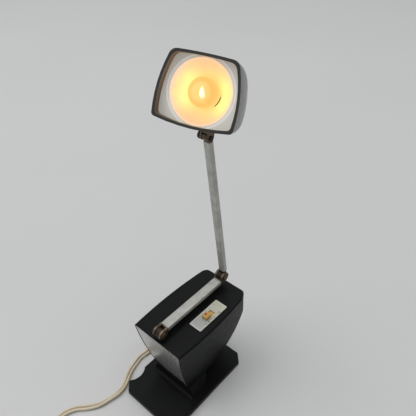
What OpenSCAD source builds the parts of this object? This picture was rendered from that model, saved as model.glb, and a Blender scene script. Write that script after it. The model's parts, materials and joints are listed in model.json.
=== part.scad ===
// Folding two-bar desk lamp with a weighted base and a swivelling head, in millimetres.
// X runs to the right, Y to the back and Z up. The origin is the middle of the base's underside.

/* [Base] */
// width of the base
base_w = 70; // [62:0.5:80]
// length of the base, front to back
base_l = 105; // [96:0.5:130]
// height of the base's top above the table
base_h = 5; // [4.5:0.1:8]
// cut across the base's corners
base_cut = 7.5; // [3:0.5:9]
// radius of the scallop in the base's left edge
notch_r = 14.5; // [12:0.5:20]
// depth of the scallop
notch_deep = 4; // [2:0.1:6]
// scallop's middle in front of the base's middle
notch_ahead = 33.5; // [28:0.5:38]
// side wall of the base moulding
base_wall = 2; // [1.5:0.1:3]
// skin over the ballast
base_skin = 1.6; // [1.2:0.1:2.4]
// thickness of the soft pad under the base
pad_t = 1.2; // [0.8:0.1:1.6]
// how far the moulding's rim stays off the table
rim_lift = 0.4; // [0.2:0.1:0.6]

/* [Neck] */
// width of the neck where it stands on the base
neck_w_low = 54; // [48:0.5:56]
// width of the neck at its waist under the housing
neck_w_top = 45; // [40:0.5:46]
// front of the neck's waist
neck_front = -15.8; // [-17:0.1:-14]
// back of the neck where it stands on the base
neck_back_low = 1.8; // [0:0.1:6]
// back of the neck at its waist
neck_back_top = 10.2; // [8:0.1:14]
// radius of the hollow curve between the neck's front and the base
neck_cove = 3; // [1.5:0.1:4]
// radius of the wire way up through the neck
wire_way_r = 5; // [4:0.1:6]
// place of the wire way behind the neck's front
wire_way_back = 10.8; // [9:0.1:13]
// radius of the screws that join base and neck
neck_screw_r = 1.6; // [1.2:0.1:2]
// distance between those screws
neck_screw_gap = 30; // [24:0.5:36]
// grip of the neck's screws above the base
neck_screw_l = 8; // [6:0.1:10]
// height of the neck's screw heads
neck_screw_h = 1.6; // [1.2:0.1:2]

/* [Housing] */
// height of the housing's flat top above the table
body_top = 87; // [80:0.5:95]
// place of the housing's top front edge
body_front = -30.8; // [-34:0.1:-28]
// length of the flat top, front to back
body_l = 97.5; // [90:0.5:105]
// greatest width of the top
body_w = 61.5; // [58:0.5:64]
// width of the top at its back edge
body_w_back = 53.5; // [48:0.5:56]
// width at the waist
body_w_low = 45; // [40:0.5:50]
// where the top is widest, behind its front edge
body_peak = 40; // [20:0.5:50]
// height of the waist above the table
waist_z = 16.9; // [15:0.1:19]
// how far back the foot of the front plate lies behind its top
front_rake = 15.2; // [10:0.1:20]
// how far the front plate bows outwards
front_bow = 2; // [1:0.1:3]
// radius of the rounded belly
belly_r = 53; // [48:0.5:56]
// rise of the housing's floor towards the back, in degrees
floor_rise = 8.6; // [6:0.1:11]
// wall of the housing
body_wall = 2.2; // [1.6:0.1:3]
// chamfer along the top's edges
top_chamfer = 1.6; // [0.8:0.1:2.2]
// radius of the top's rear corners
rear_round = 9; // [5:0.5:11]
// thickness of the metal front plate
plate_t = 1.2; // [0.8:0.1:2]
// width of the housing's lip round the front plate
plate_lip = 0.9; // [0.6:0.1:1.2]
// how deep the front plate lies inside the lip
plate_in = 0.2; // [0.1:0.1:0.6]

/* [Transformer] */
// width of the laminated core
core_w = 33; // [28:0.5:38]
// height of the laminated core
core_h = 30; // [26:0.5:34]
// stack of the laminated core, front to back
core_stack = 18; // [14:0.5:22]
// overhang of the winding at each end of the stack
winding_over = 5; // [3:0.5:7]
// height of the winding
winding_h = 17.4; // [14:0.2:18]
// sheet of the transformer's bracket
bracket_t = 1.2; // [0.8:0.1:1.6]
// height of the bracket's seat above the table
bracket_z = 33; // [31:0.1:36]
// bracket's sheet in front of the core
bracket_lead = 8; // [6:0.5:9]
// bracket's screwed foot behind the core
bracket_foot = 10; // [8:0.5:11]
// place of the core's middle behind the housing's front edge
core_back = 44; // [38:0.5:50]
// radius of the bracket's screws
bracket_screw_r = 1.5; // [1.2:0.1:1.8]

/* [Switch] */
// width of the switch plate
sw_plate_w = 13.8; // [12:0.1:16]
// length of the switch plate
sw_plate_l = 37.6; // [32:0.1:42]
// thickness of the switch plate
sw_plate_t = 0.8; // [0.6:0.1:1.2]
// middle of the switch plate to the right of the middle of the housing
sw_x = 16.8; // [15:0.1:18]
// middle of the switch plate behind the housing's front edge
sw_back = 51.3; // [46:0.1:58]
// width of the slot
sw_slot_w = 6.2; // [5:0.1:7]
// length of the slot
sw_slot_l = 12; // [10:0.1:14]
// length of the knob
knob_l = 5.8; // [4:0.1:7]
// height of the knob above the switch plate
knob_h = 3.2; // [2:0.1:5]
// thickness of the slider under the switch plate
slider_t = 1; // [0.8:0.1:1.2]
// reach of the slider past the slot's edges
slider_over = 1; // [0.6:0.1:1.4]
// depth of the switch's body below the top wall
sw_body_d = 11; // [8:0.5:14]
// clearance round the knob
knob_gap = 0.3; // [0.2:0.05:0.4]

/* [Arms] */
// height of the front pivot above the housing's top
pivot_h = 6; // [5.6:0.1:8]
// front pivot behind the housing's front edge
pivot_back = 6; // [5.5:0.1:9]
// distance from the front pivot to the elbow, along Y
lower_len = 84; // [70:0.5:100]
// height of the elbow above the front pivot
elbow_up = 6; // [5.5:0.1:8]
// height of the lower tube's middle above the front pivot
lower_up = 2.1; // [1.6:0.1:2.6]
// width of the lower tube
lower_w = 9.1; // [8:0.1:11]
// height of the lower tube
lower_h = 4.6; // [4:0.1:5.4]
// distance from the elbow to the head hinge
upper_len = 161; // [140:1:190]
// lean of the upper bar towards the front, in degrees
upper_lean = 5.7; // [0:0.1:12]
// upper tube behind the elbow's pin
elbow_set = 3; // [1:0.1:3.2]
// upper tube behind the head hinge's pin
tip_set = 1; // [0:0.1:1.4]
// width of the upper tube
upper_w = 6.9; // [6.4:0.1:8]
// depth of the upper tube
upper_d = 4.6; // [4.2:0.1:5.4]
// wall of both tubes
tube_wall = 0.55; // [0.4:0.05:0.7]
// corner radius of both tubes
tube_r = 0.8; // [0.6:0.1:1]
// length of the plugs inside the tubes
plug_in = 9; // [6:0.5:12]

/* [Hinges] */
// radius of the forks' round ears
ear_r = 5; // [4.6:0.1:5.2]
// thickness of an ear
ear_t = 2; // [1.5:0.1:2.4]
// thickness of the tongues between the ears
tongue_t = 5; // [4.6:0.1:5]
// radius of the tongues' round ends
tongue_r = 4.2; // [3.8:0.1:4.4]
// running clearance at each side of a tongue
side_gap = 0.25; // [0.15:0.05:0.35]
// radius of the pivot screws
pin_r = 1.5; // [1.2:0.1:1.8]
// radial clearance of a tongue on its screw
pin_gap = 0.06; // [0.03:0.01:0.1]
// radius of a pivot screw's head
pin_head_r = 2.7; // [2.3:0.1:3.2]
// height of a pivot screw's head
pin_head_h = 1.1; // [0.8:0.1:1.5]
// radius of a pivot screw's nut
pin_nut_r = 2.2; // [1.9:0.1:3.2]
// height of a pivot screw's nut
pin_nut_h = 0.9; // [0.7:0.1:1.5]
// flange at a fork's tube end
flange_t = 1.2; // [0.8:0.1:1.6]
// radius of the ears of the head hinge
tip_ear_r = 3.4; // [3:0.1:4]
// thickness of those ears
tip_ear_t = 1.5; // [1.2:0.1:2]
// radius of the upper bar's round tip
tip_r = 3; // [2.6:0.1:3.2]
// radius of the head hinge's screw
tip_pin_r = 1.1; // [0.9:0.1:1.3]
// radius of that screw's head
tip_head_r = 2; // [1.6:0.1:2.6]
// height of that screw's head
tip_head_h = 0.9; // [0.8:0.1:1.4]
// radius of the round thumb nut on that screw
tip_nut_r = 3.4; // [2.6:0.1:4]
// height of the thumb nut
tip_nut_h = 2.6; // [1.6:0.1:3]

/* [Head] */
// lean of the head's stud towards the back, in degrees
stud_lean = 14.7; // [5:0.1:25]
// how far the head is turned on its stud, in degrees
head_turn = 20.4; // [0:0.1:40]
// half the head's width at its lower corners
head_low = 29.2; // [26:0.1:32]
// half the head's width at its upper corners
head_high = 23.3; // [21:0.1:27]
// height between the lines through its corners
head_h = 45.5; // [42:0.1:50]
// bulge of the lower side and of the left and right sides
side_bulge = 2.8; // [2:0.1:3.4]
// bulge of the upper side
top_bulge = 0.8; // [0.4:0.1:2]
// reach of the rounding at the lower corners
low_corner = 2.2; // [1.5:0.1:4]
// reach of the rounding at the upper corners
high_corner = 4; // [2:0.1:6]
// how much the corners' reach grows towards the back
corner_grow = 4; // [0:0.1:6]
// depth of the head
head_d = 56; // [54:0.5:64]
// share of its size that the head loses evenly towards the back
head_taper = 0.05; // [0.02:0.01:0.1]
// share of its size that the head loses in its rounding
head_round = 0.43; // [0.36:0.01:0.5]
// wall of the head
head_wall = 1.2; // [1:0.1:1.6]
// width of the head's rim round the opening
rim_w = 1.9; // [1.4:0.1:2.4]
// depth of the rim
rim_d = 2; // [1:0.1:3]
// stud behind the head's opening, as the angle round the rounding
stud_at = 45; // [36:1:50]
// underside above the head hinge
lug_h = 11; // [10:0.1:16]
// radius of the stud
stud_r = 2; // [1.5:0.1:2.4]
// radius of the lug's seat under the head
lug_seat_r = 5.5; // [4.5:0.1:6.5]

/* [Lamp] */
// depth of the reflector's face behind the opening
face_in = 6.5; // [4:0.1:8]
// sheet of the reflector
sheet_t = 0.6; // [0.4:0.1:0.8]
// radius of the bowl's mouth
bowl_r = 22; // [20:0.1:22.2]
// height of the bowl's centre in front of its mouth
bowl_c = 8; // [6:0.1:10]
// radius of the hole for the bulb
bowl_hole = 11.2; // [10.4:0.1:12]
// lamp's axis below the opening's middle
lamp_drop = 1; // [0.6:0.1:1.2]
// radius of the bulb
bulb_r = 11.2; // [9:0.1:11.4]
// middle of the bulb behind the opening
bulb_in = 13.8; // [12.6:0.1:16]
// radius of the bulb's cap
cap_r = 7.5; // [7:0.1:7.7]
// length of the cap
cap_l = 12; // [10:0.1:14]
// radius of the socket
socket_r = 8.4; // [8.2:0.1:9]

/* [Cord] */
// width of the two-core cord
cord_w = 5.6; // [5:0.1:6.4]
// thickness of the cord
cord_t = 2.8; // [2.4:0.1:3.2]
// height of the cord's exit above the table
exit_z = 11.5; // [10.5:0.1:12.5]
// length of the strain relief outside the neck
relief_l = 21; // [20:0.5:26]
// radius of the strain relief at the neck
relief_r = 4.2; // [4:0.1:4.8]
// middle radius of the put-away coil
coil_r = 32.5; // [30:0.5:36]
// turns of the coil, in two layers
coil_turns = 7.5; // [4.5:1:8.5]
// gap between the coil's turns and between its layers
turn_gap = 0.6; // [0.5:0.1:1]
// how far the coil's tail swings outwards to the plug
tail_out = 8; // [7:0.5:12]
// length of the plug
plug_l = 26; // [22:0.5:32]
// width of the plug
plug_w = 22; // [20:0.5:26]
// gap between the middles of the plug's blades
blade_gap = 12.7; // [12.5:0.1:12.9]
// width of a blade
blade_w = 6.4; // [6.2:0.1:6.6]
// thickness of a blade
blade_t = 1.5; // [1.4:0.1:1.6]
// length of a blade outside the plug
blade_l = 16; // [15:0.1:18]
// length of a blade inside the plug
blade_in = 7.5; // [6:0.1:9]
// radius of the hole in a blade
blade_hole_r = 1.6; // [1.4:0.1:1.8]
// thickness of the plug
plug_t = 11; // [9:0.5:13]

/* [Hidden] */
$fn = 64;
// sides of the housing's large curves
fine = 200;
// fit of pieces that are pushed together
fit = 0.05;
// fit of an ear or a nut on its screw
grip = 0.02;
// gap at a seat
seat = 0.3;
// gap beside a piece that moves
run = 0.4;
// how far a cut or a join runs past a face
past = 1;
// reach of a cut across a whole piece
over = 10;
// reach of the forms that trim the housing
wide = 40;
// longer than the lamp
big = 400;

// Small sizes

// floor under the neck's wire way
wire_floor = 3;
// how deep the floor's line cuts into the belly's curve
floor_bite = 0.4;
// radius of the bosses under the transformer's bracket
boss_r = 4;
// bosses behind the front plate
boss_back = 3;
// bracket's screws in from the core's sides
bracket_screw_in = 5;
// grip of the bracket's screws
bracket_screw_l = 6;
// depth of the well in the switch's body
sw_well = 2;
// switch's body in from the plate's sides
sw_body_in = 1.5;
// corner radius of the switch plate
sw_plate_r = 0.8;
// width and depth of a groove in the knob
groove = 0.5;
// flange past the lower tube's sides
flange_side = 0.4;
// flange past the lower tube's top and bottom
flange_top = 0.3;
// width of a screw's slot as a share of its head's radius
slot_share = 0.28;
// floor of a screw's slot as a share of its head's height
slot_floor = 0.6;
// gap between the elbow's ears and the upper tube
tube_gap_low = 0.6;
// gap between the upper tube and the head hinge's ears
tube_gap_high = 0.8;
// bridge of the head's fork over the tongue
lug_bridge = 3;
// thickness of the lug's seat
lug_seat_t = 1.2;
// stud above the head's wall
stud_over = 3.4;
// height of the stud's nut
stud_nut_h = 2.4;
// wall of the bulb
bulb_wall = 0.6;
// neck between the bulb and its cap
bulb_neck = 1.5;
// radius of the filament
filament_r = 0.6;
// length of the filament
filament_l = 6;
// filament in front of the bulb's middle
filament_ahead = 1;
// radius of the filament's leads
lead_r = 0.3;
// leads' distance from the lamp's axis
lead_off = 2.6;
// radius of the contact behind the cap
contact_r = 2.6;
// height of that contact
contact_h = 0.8;
// floor of the socket
socket_floor = 0.8;
// socket's edge behind the cap's edge
socket_rim = 0.6;
// socket's post in from the socket's side
post_in = 2.4;
// straight part of the strain relief outside the neck
relief_collar = 3;
// strain relief's wall at its tip
relief_lip = 0.5;

// Places that follow from the sizes

body_back = body_front + body_l;
side_taper = atan((body_w - body_w_low) / 2 / (body_top - waist_z));
side_run = body_l - body_peak;
side_sag = (body_w - body_w_back) / 2;
side_r = (side_run * side_run + side_sag * side_sag) / (2 * side_sag);
belly_y = body_back - belly_r;
belly_cut = belly_r - floor_bite;
front_drop = body_top - waist_z;
front_chord = sqrt(front_rake * front_rake + front_drop * front_drop);
bow_r = (front_chord * front_chord / 4 + front_bow * front_bow) / (2 * front_bow);
bow_tilt = atan(front_rake / front_drop);
bow_y = body_front + front_rake / 2 + (bow_r - front_bow) * cos(bow_tilt);
bow_z = body_top - front_drop / 2 + (bow_r - front_bow) * sin(bow_tilt);
floor_y = body_front + front_rake;
function floor_at(y) = waist_z + (y - floor_y) * tan(floor_rise);
belly_z = floor_at(belly_y) + belly_cut / cos(floor_rise);

wire_y = neck_front + wire_way_back;
neck_slope = (neck_back_top - neck_back_low) / (floor_at(neck_back_top) - base_h);
relief_y = neck_back_low + neck_slope * (exit_z - base_h);
relief_end = relief_y + relief_l;

p1 = [0, body_front + pivot_back, body_top + pivot_h];
p2 = [0, p1[1] + lower_len, p1[2] + elbow_up];
p3 = [0, p2[1] - upper_len * sin(upper_lean), p2[2] + upper_len * cos(upper_lean)];
ear_in = tongue_t / 2 + side_gap;
ear_out = ear_in + ear_t;
tip_out = ear_in + tip_ear_t;
lower_z = p1[2] + lower_up;
lower_y1 = p1[1] + tongue_r + run + flange_t;
lower_y2 = p2[1] - tongue_r - run - flange_t;
bar_lean = atan((elbow_set - tip_set) / upper_len);
upper_z1 = ear_r + run + tube_gap_low;
upper_z2 = upper_len - tip_ear_r - run - tube_gap_high;

core_y = body_front + core_back;
switch_y = body_front + sw_back;
knob_y = switch_y - sw_slot_l / 2 + knob_gap + knob_l / 2;
knob_travel = sw_slot_l - knob_l - 2 * knob_gap;
slider_w = sw_slot_w + 2 * slider_over;
slider_l = knob_l + 2 * (knob_travel + knob_gap + slider_over);
switch_l = slider_l + knob_travel + 2 * body_wall;
stem_h = body_wall + sw_well - knob_gap;

head_half = head_h / 2 + side_bulge;
stud_back = head_d * sin(stud_at);
under_taper = atan(head_half / head_d * (head_taper + head_round * tan(stud_at)));
stud_y = -head_half * head_share(stud_back);
lug_y = -stud_y + lug_h * cos(under_taper);
lug_z = stud_back + lug_h * sin(under_taper);
lug_top = tip_r + run + lug_bridge;
bowl_ball = sqrt(bowl_r * bowl_r + bowl_c * bowl_c);
cap_in = bulb_in + bulb_r + bulb_neck;
socket_in = cap_in + socket_rim;
socket_end = cap_in + cap_l + contact_h + socket_floor;

// Shared profiles

module rounded_rect(w, l, r) {
    square([w - 2 * r, l], center = true);
    square([w, l - 2 * r], center = true);
    for (x = [-1, 1], y = [-1, 1]) translate([x * (w / 2 - r), y * (l / 2 - r)]) circle(r);
}

// a profile drawn as Y and Z, run out along X
module along_x(w) {
    rotate([90, 0, 90]) translate([0, 0, -w / 2]) linear_extrude(w) children();
}

// a profile drawn as X and Z, run out along Y between two places
module along_y(y1, y2) {
    translate([0, y2, 0]) rotate([90, 0, 0]) linear_extrude(y2 - y1) children();
}

// a rectangular tube whose inner corners keep at least a small radius
module tube(w, d, h, wall, r) {
    linear_extrude(h) difference() {
        rounded_rect(w, d, r);
        rounded_rect(w - 2 * wall, d - 2 * wall, max(r - wall, 0.15));
    }
}

module x_cylinder(r, x1, x2) {
    translate([x1, 0, 0]) rotate([0, 90, 0]) cylinder(r = r, h = x2 - x1);
}

module cylinder_from(r, z1, z2) translate([0, 0, z1]) cylinder(r = r, h = z2 - z1);

// Base

// rectangle with its corners cut across
module cut_rect(w, l, c) {
    x = w / 2;
    y = l / 2;
    polygon([[x - c, -y], [x, c - y], [x, y - c], [x - c, y],
        [c - x, y], [-x, y - c], [-x, c - y], [c - x, -y]]);
}

// plate with cut corners and a scallop in its left edge
module base_plan(inset) difference() {
    cut_rect(base_w - 2 * inset, base_l - 2 * inset, base_cut - inset * (2 - sqrt(2)));
    translate([-base_w / 2 - notch_r + notch_deep, -notch_ahead]) circle(notch_r + inset);
}

module base_plate() color([0.05, 0.05, 0.05]) difference() {
    translate([0, 0, rim_lift]) linear_extrude(base_h - rim_lift) base_plan(0);
    translate([0, 0, -past]) linear_extrude(base_h - base_skin + past) base_plan(base_wall);
    neck_screw_places() cylinder(r = neck_screw_r + fit, h = big, center = true);
}

module inner_slab(z1, z2) {
    translate([0, 0, z1]) linear_extrude(z2 - z1) base_plan(base_wall + seat);
}

module neck_screw_places() {
    for (s = [-1, 1]) translate([s * neck_screw_gap / 2, wire_y, base_h - base_skin]) children();
}

module ballast() color([0.45, 0.46, 0.48]) difference() {
    inner_slab(pad_t, base_h - base_skin);
    neck_screw_places() cylinder(r = 2 * neck_screw_r + run, h = big, center = true);
}

module foot_pad() color([0.12, 0.12, 0.12]) inner_slab(0, pad_t);

module neck_screws() color([0.6, 0.6, 0.6]) neck_screw_places() {
    cylinder_from(2 * neck_screw_r, -neck_screw_h, 0);
    cylinder_from(neck_screw_r, -neck_screw_h / 2, base_skin + neck_screw_l);
}

// Neck

module neck_side() difference() {
    polygon([[neck_front - neck_cove, base_h], [neck_back_low, base_h],
        [neck_back_top, floor_at(neck_back_top)], [neck_front, floor_at(neck_front)],
        [neck_front, base_h + neck_cove], [neck_front - neck_cove, base_h + neck_cove]]);
    translate([neck_front - neck_cove, base_h + neck_cove]) circle(neck_cove);
}

module neck_front_view() {
    polygon([[-neck_w_low / 2, base_h], [neck_w_low / 2, base_h],
        [neck_w_top / 2, waist_z], [neck_w_top / 2, body_top],
        [-neck_w_top / 2, body_top], [-neck_w_top / 2, waist_z]]);
}

module neck() color([0.03, 0.03, 0.03]) difference() {
    intersection() {
        along_x(base_w) neck_side();
        along_y(-base_l, base_l) neck_front_view();
    }
    translate([0, wire_y, base_h + wire_floor]) cylinder(r = wire_way_r, h = big);
    translate([0, wire_y, exit_z]) rotate([-90, 0, 0]) cylinder(r = relief_r + fit, h = big);
    neck_screw_places() cylinder(r = neck_screw_r + fit, h = base_skin + neck_screw_l + run);
}

// Housing

module body_side(inset, front_inset) intersection() {
    translate([bow_y, bow_z]) circle(bow_r - front_inset, $fn = fine);
    union() {
        translate([belly_y, belly_z]) circle(belly_r - inset, $fn = fine);
        polygon([[floor_y - big, floor_at(floor_y - big) + inset / cos(floor_rise)],
            [belly_y + (belly_cut - inset) * sin(floor_rise),
                belly_z - (belly_cut - inset) * cos(floor_rise)],
            [belly_y, belly_z], [belly_y, big], [floor_y - big, big]]);
        translate([belly_y - past, belly_z]) square([belly_r - inset + past, big]);
    }
    polygon([[body_front - big, -past], [body_back + over, -past],
        [body_back + over, body_top - inset - top_chamfer - over],
        [body_back - inset, body_top - inset - top_chamfer],
        [body_back - inset - top_chamfer, body_top - inset], [body_front - big, body_top - inset]]);
}

// one side wall: a large cylinder leaned inwards, chamfered along the top
module side_wall(inset) {
    rise = body_top + top_chamfer + wide;
    r = side_r - inset;
    translate([body_w / 2, body_front + body_peak, body_top]) rotate([0, side_taper, 0])
        translate([-side_r, 0, 0]) intersection() {
            translate([0, 0, -2 * body_top]) cylinder(r = r, h = 3 * body_top, $fn = fine);
            translate([0, 0, -inset - top_chamfer - body_top])
                cylinder(r1 = r + body_top, r2 = r + body_top - rise, h = rise, $fn = fine);
        }
}

module body_plan(inset) {
    r = rear_round;
    x = body_w_back / 2 - inset;
    y = body_back - inset;
    translate([-big / 2, y - r - big]) square([big, big]);
    translate([-(x - r), y - r - past]) square([2 * (x - r), r + past]);
    for (s = [-1, 1]) translate([s * (x - r), y - r]) circle(r);
}

module body_form(inset, front_inset) intersection() {
    along_x(base_w + wide) body_side(inset, front_inset);
    side_wall(inset);
    mirror([1, 0, 0]) side_wall(inset);
    linear_extrude(2 * body_top) body_plan(inset);
}

// a bowed layer of the housing's front between two depths
module front_slice(inset, from, to) difference() {
    body_form(inset, from);
    along_x(base_w + wide) translate([bow_y, bow_z]) circle(bow_r - to, $fn = fine);
}

module bracket_screw_places() {
    x = core_w / 2 - bracket_screw_in;
    y = core_y + core_stack / 2 + bracket_foot / 2;
    for (s = [-1, 1]) translate([s * x, y, bracket_z]) children();
}

// two bosses and a front rest that the transformer's bracket sits on
module bracket_rests() {
    bracket_screw_places() cylinder_from(boss_r, -bracket_z, 0);
    translate([-boss_r, core_y - core_stack / 2 - bracket_lead - past, 0])
        cube([2 * boss_r, bracket_lead - past, bracket_z]);
}

module body_shell() color([0.06, 0.06, 0.06]) difference() {
    union() {
        difference() {
            body_form(0, 0);
            body_form(body_wall, -past);
            front_slice(plate_lip - fit, -past, plate_in + plate_t + fit);
        }
        intersection() {
            body_form(body_wall / 2, plate_in + plate_t + boss_back);
            bracket_rests();
        }
    }
    translate([sw_x, switch_y, body_top])
        cube([slider_w + 2 * knob_gap, slider_l + knob_travel + 2 * knob_gap, 2 * over], center = true);
    translate([0, wire_y, 0]) cylinder(r = wire_way_r, h = body_top / 2);
    bracket_screw_places() cylinder_from(bracket_screw_r + fit, -bracket_screw_l - past, past);
}

module front_plate() color([0.75, 0.75, 0.75]) front_slice(plate_lip, plate_in, plate_in + plate_t);

// Transformer

// laminations with two windows, each as wide as an outer leg
module transformer_core() color([0.3, 0.28, 0.27])
    translate([0, core_y, bracket_z + bracket_t]) difference() {
        translate([-core_w / 2, -core_stack / 2, 0]) cube([core_w, core_stack, core_h]);
        for (s = [-1, 1]) translate([s * core_w / 4, 0, core_h / 2])
            cube([core_w / 6, 2 * core_stack, winding_h + 2 * seat], center = true);
    }

// winding round the middle leg
module transformer_coil() color([0.75, 0.65, 0.35])
    translate([0, core_y, bracket_z + bracket_t + core_h / 2]) difference() {
        cube([core_w * 2 / 3 - 2 * seat, core_stack + 2 * winding_over, winding_h], center = true);
        cube([core_w / 3 + 2 * seat, core_stack + 2 * fit, big], center = true);
    }

// sheet under the core with a cheek up each side
module transformer_bracket() color([0.6, 0.6, 0.62]) difference() {
    translate([0, core_y, bracket_z]) {
        translate([-core_w / 2 - fit - bracket_t, -core_stack / 2 - bracket_lead, 0])
            cube([core_w + 2 * fit + 2 * bracket_t, core_stack + bracket_lead + bracket_foot, bracket_t]);
        for (s = [-1, 1])
            translate([s * (core_w / 2 + fit + bracket_t / 2) - bracket_t / 2, -core_stack / 2, 0])
                cube([bracket_t, core_stack, core_h / 2]);
    }
    bracket_screw_places() cylinder(r = bracket_screw_r + fit, h = big, center = true);
}

module bracket_screws() color([0.7, 0.7, 0.7]) bracket_screw_places() {
    cylinder_from(2 * bracket_screw_r, bracket_t, bracket_t + bracket_screw_r);
    cylinder_from(bracket_screw_r, -bracket_screw_l, bracket_t + bracket_screw_r / 2);
}

// Switch

module switch_body() color([0.1, 0.1, 0.1]) difference() {
    translate([sw_x - sw_plate_w / 2 + sw_body_in, switch_y - switch_l / 2, body_top - body_wall - sw_body_d])
        cube([sw_plate_w - 2 * sw_body_in, switch_l, sw_body_d]);
    translate([sw_x, switch_y, body_top - body_wall])
        cube([sw_slot_w, sw_slot_l, 2 * sw_well], center = true);
}

module switch_plate() color([0.72, 0.72, 0.66]) translate([sw_x, switch_y, body_top]) difference() {
    linear_extrude(sw_plate_t) rounded_rect(sw_plate_w, sw_plate_l, sw_plate_r);
    cube([sw_slot_w, sw_slot_l, 2 * over], center = true);
}

// grooved knob on a slider that fills the slot from below
module switch_knob() color([0.8, 0.68, 0.45]) translate([sw_x, knob_y, body_top - stem_h]) {
    knob_top = stem_h + sw_plate_t + knob_h;
    difference() {
        translate([-sw_slot_w / 2 + knob_gap, -knob_l / 2, 0])
            cube([sw_slot_w - 2 * knob_gap, knob_l, knob_top]);
        for (i = [-1, 0, 1]) translate([-sw_slot_w, i * knob_l / 4 - groove / 2, knob_top - groove])
            cube([2 * sw_slot_w, groove, 2 * groove]);
    }
    translate([-slider_w / 2, -slider_l / 2, stem_h - knob_gap - slider_t])
        cube([slider_w, slider_l, slider_t]);
}

// Front pivot and lower bar

module pivot_post() color([0.5, 0.42, 0.34]) difference() {
    union() {
        translate(p1) x_cylinder(tongue_r, -tongue_t / 2, tongue_t / 2);
        translate([-tongue_t / 2, p1[1] - tongue_r, body_top]) cube([tongue_t, 2 * tongue_r, pivot_h]);
    }
    translate(p1) x_cylinder(pin_r + pin_gap, -over, over);
}

// a slotted screw across a fork, with a round nut on its left
module pivot_screw(r, head_r, head_h, out, nut_r, nut_h) difference() {
    union() {
        x_cylinder(r, -out - head_h / 2, out + head_h / 2);
        x_cylinder(head_r, out, out + head_h);
        x_cylinder(nut_r, -out - nut_h, -out);
    }
    translate([out + head_h * slot_floor, -head_r * slot_share / 2, -big / 2])
        cube([head_h, head_r * slot_share, big]);
}

module arm_screw() pivot_screw(pin_r, pin_head_r, pin_head_h, ear_out, pin_nut_r, pin_nut_h);

// both ears of a fork, each drawn from its left face
module ears(t) {
    for (s = [-1, 1]) translate([s * (ear_in + t / 2) - t / 2, 0, 0]) children();
}

// one arm of a fork from its ear to the flange
module fork_arm(y1, y2) translate([0, y1, lower_z - lower_h / 2]) cube([ear_t, y2 - y1, lower_h]);

module fork_flange(y) translate([-lower_w / 2 - flange_side, y, lower_z - lower_h / 2 - flange_top])
    cube([lower_w + 2 * flange_side, flange_t, lower_h + 2 * flange_top]);

// the part of a fork inside the lower tube
module fork_plug(y1, y2) {
    w = lower_w - 2 * tube_wall - 2 * fit;
    h = lower_h - 2 * tube_wall - 2 * fit;
    translate([-w / 2, y1, lower_z - h / 2]) cube([w, y2 - y1, h]);
}

module front_clevis() color([0.5, 0.42, 0.34]) difference() {
    union() {
        ears(ear_t) {
            translate(p1) x_cylinder(ear_r, 0, ear_t);
            fork_arm(p1[1], lower_y1 - flange_t / 2);
        }
        fork_flange(lower_y1 - flange_t);
        fork_plug(lower_y1 - flange_t / 2, lower_y1 + plug_in);
    }
    translate(p1) x_cylinder(pin_r + grip, -over, over);
}

module front_screw() color([0.55, 0.5, 0.42]) translate(p1) arm_screw();

module lower_tube() color([0.72, 0.72, 0.7]) translate([0, lower_y2, lower_z]) rotate([90, 0, 0])
    tube(lower_w, lower_h, lower_y2 - lower_y1, tube_wall, tube_r);

module elbow_clevis() color([0.5, 0.42, 0.34]) difference() {
    union() {
        ears(ear_t) {
            translate(p2) x_cylinder(ear_r, 0, ear_t);
            fork_arm(lower_y2 + flange_t / 2, p2[1]);
        }
        fork_flange(lower_y2);
        fork_plug(lower_y2 - plug_in, lower_y2 + flange_t / 2);
    }
    translate(p2) x_cylinder(pin_r + grip, -over, over);
}

module elbow_screw() color([0.55, 0.5, 0.42]) translate(p2) arm_screw();

// Upper bar, drawn upright from the elbow

module upper_place() translate(p2) rotate([upper_lean, 0, 0]) children();

// the tube stands a little behind the line through its pins
module bar_place() upper_place() translate([0, elbow_set, 0]) rotate([bar_lean, 0, 0]) children();

// flat bar inside the upper tube's depth
module flat_bar(w, from, to) translate([-w / 2, -upper_d / 2 + tube_wall + fit, from])
    cube([w, upper_d - 2 * tube_wall - 2 * fit, to - from]);

// plug that fits the tube
module tube_plug(from, to) flat_bar(upper_w - 2 * tube_wall - 2 * fit, from, to);

module elbow_tongue() color([0.5, 0.42, 0.34]) difference() {
    union() {
        upper_place() x_cylinder(tongue_r, -tongue_t / 2, tongue_t / 2);
        bar_place() flat_bar(tongue_t, 0, upper_z1 + past);
        bar_place() tube_plug(upper_z1, upper_z1 + plug_in);
    }
    upper_place() x_cylinder(pin_r + pin_gap, -tongue_t, tongue_t);
}

module upper_tube() color([0.72, 0.72, 0.7]) bar_place() translate([0, 0, upper_z1])
    tube(upper_w, upper_d, upper_z2 - upper_z1, tube_wall, tube_r);

module tip_tongue() color([0.5, 0.42, 0.34]) difference() {
    union() {
        upper_place() translate([0, 0, upper_len]) x_cylinder(tip_r, -tongue_t / 2, tongue_t / 2);
        bar_place() flat_bar(tongue_t, upper_z2 - past, upper_len);
        bar_place() tube_plug(upper_z2 - plug_in, upper_z2);
    }
    upper_place() translate([0, 0, upper_len]) x_cylinder(tip_pin_r + pin_gap, -tongue_t, tongue_t);
}

// Head hinge and swivel, drawn upright from the hinge

module lug_place() translate(p3) rotate([-stud_lean, 0, 0]) children();

module head_lug() color([0.42, 0.36, 0.3]) lug_place() difference() {
    union() {
        ears(tip_ear_t) {
            x_cylinder(tip_ear_r, 0, tip_ear_t);
            translate([0, -tip_ear_r, 0]) cube([tip_ear_t, 2 * tip_ear_r, lug_top]);
        }
        translate([-tip_out, -tip_ear_r, tip_r + run]) cube([2 * tip_out, 2 * tip_ear_r, lug_bridge]);
        cylinder_from(tip_ear_r, lug_top - past, lug_h - seat);
        cylinder_from(lug_seat_r, lug_h - seat - lug_seat_t, lug_h - seat);
        cylinder_from(stud_r, lug_h - seat - past, lug_h + head_wall + seat + stud_over);
    }
    x_cylinder(tip_pin_r + grip, -over, over);
}

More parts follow.
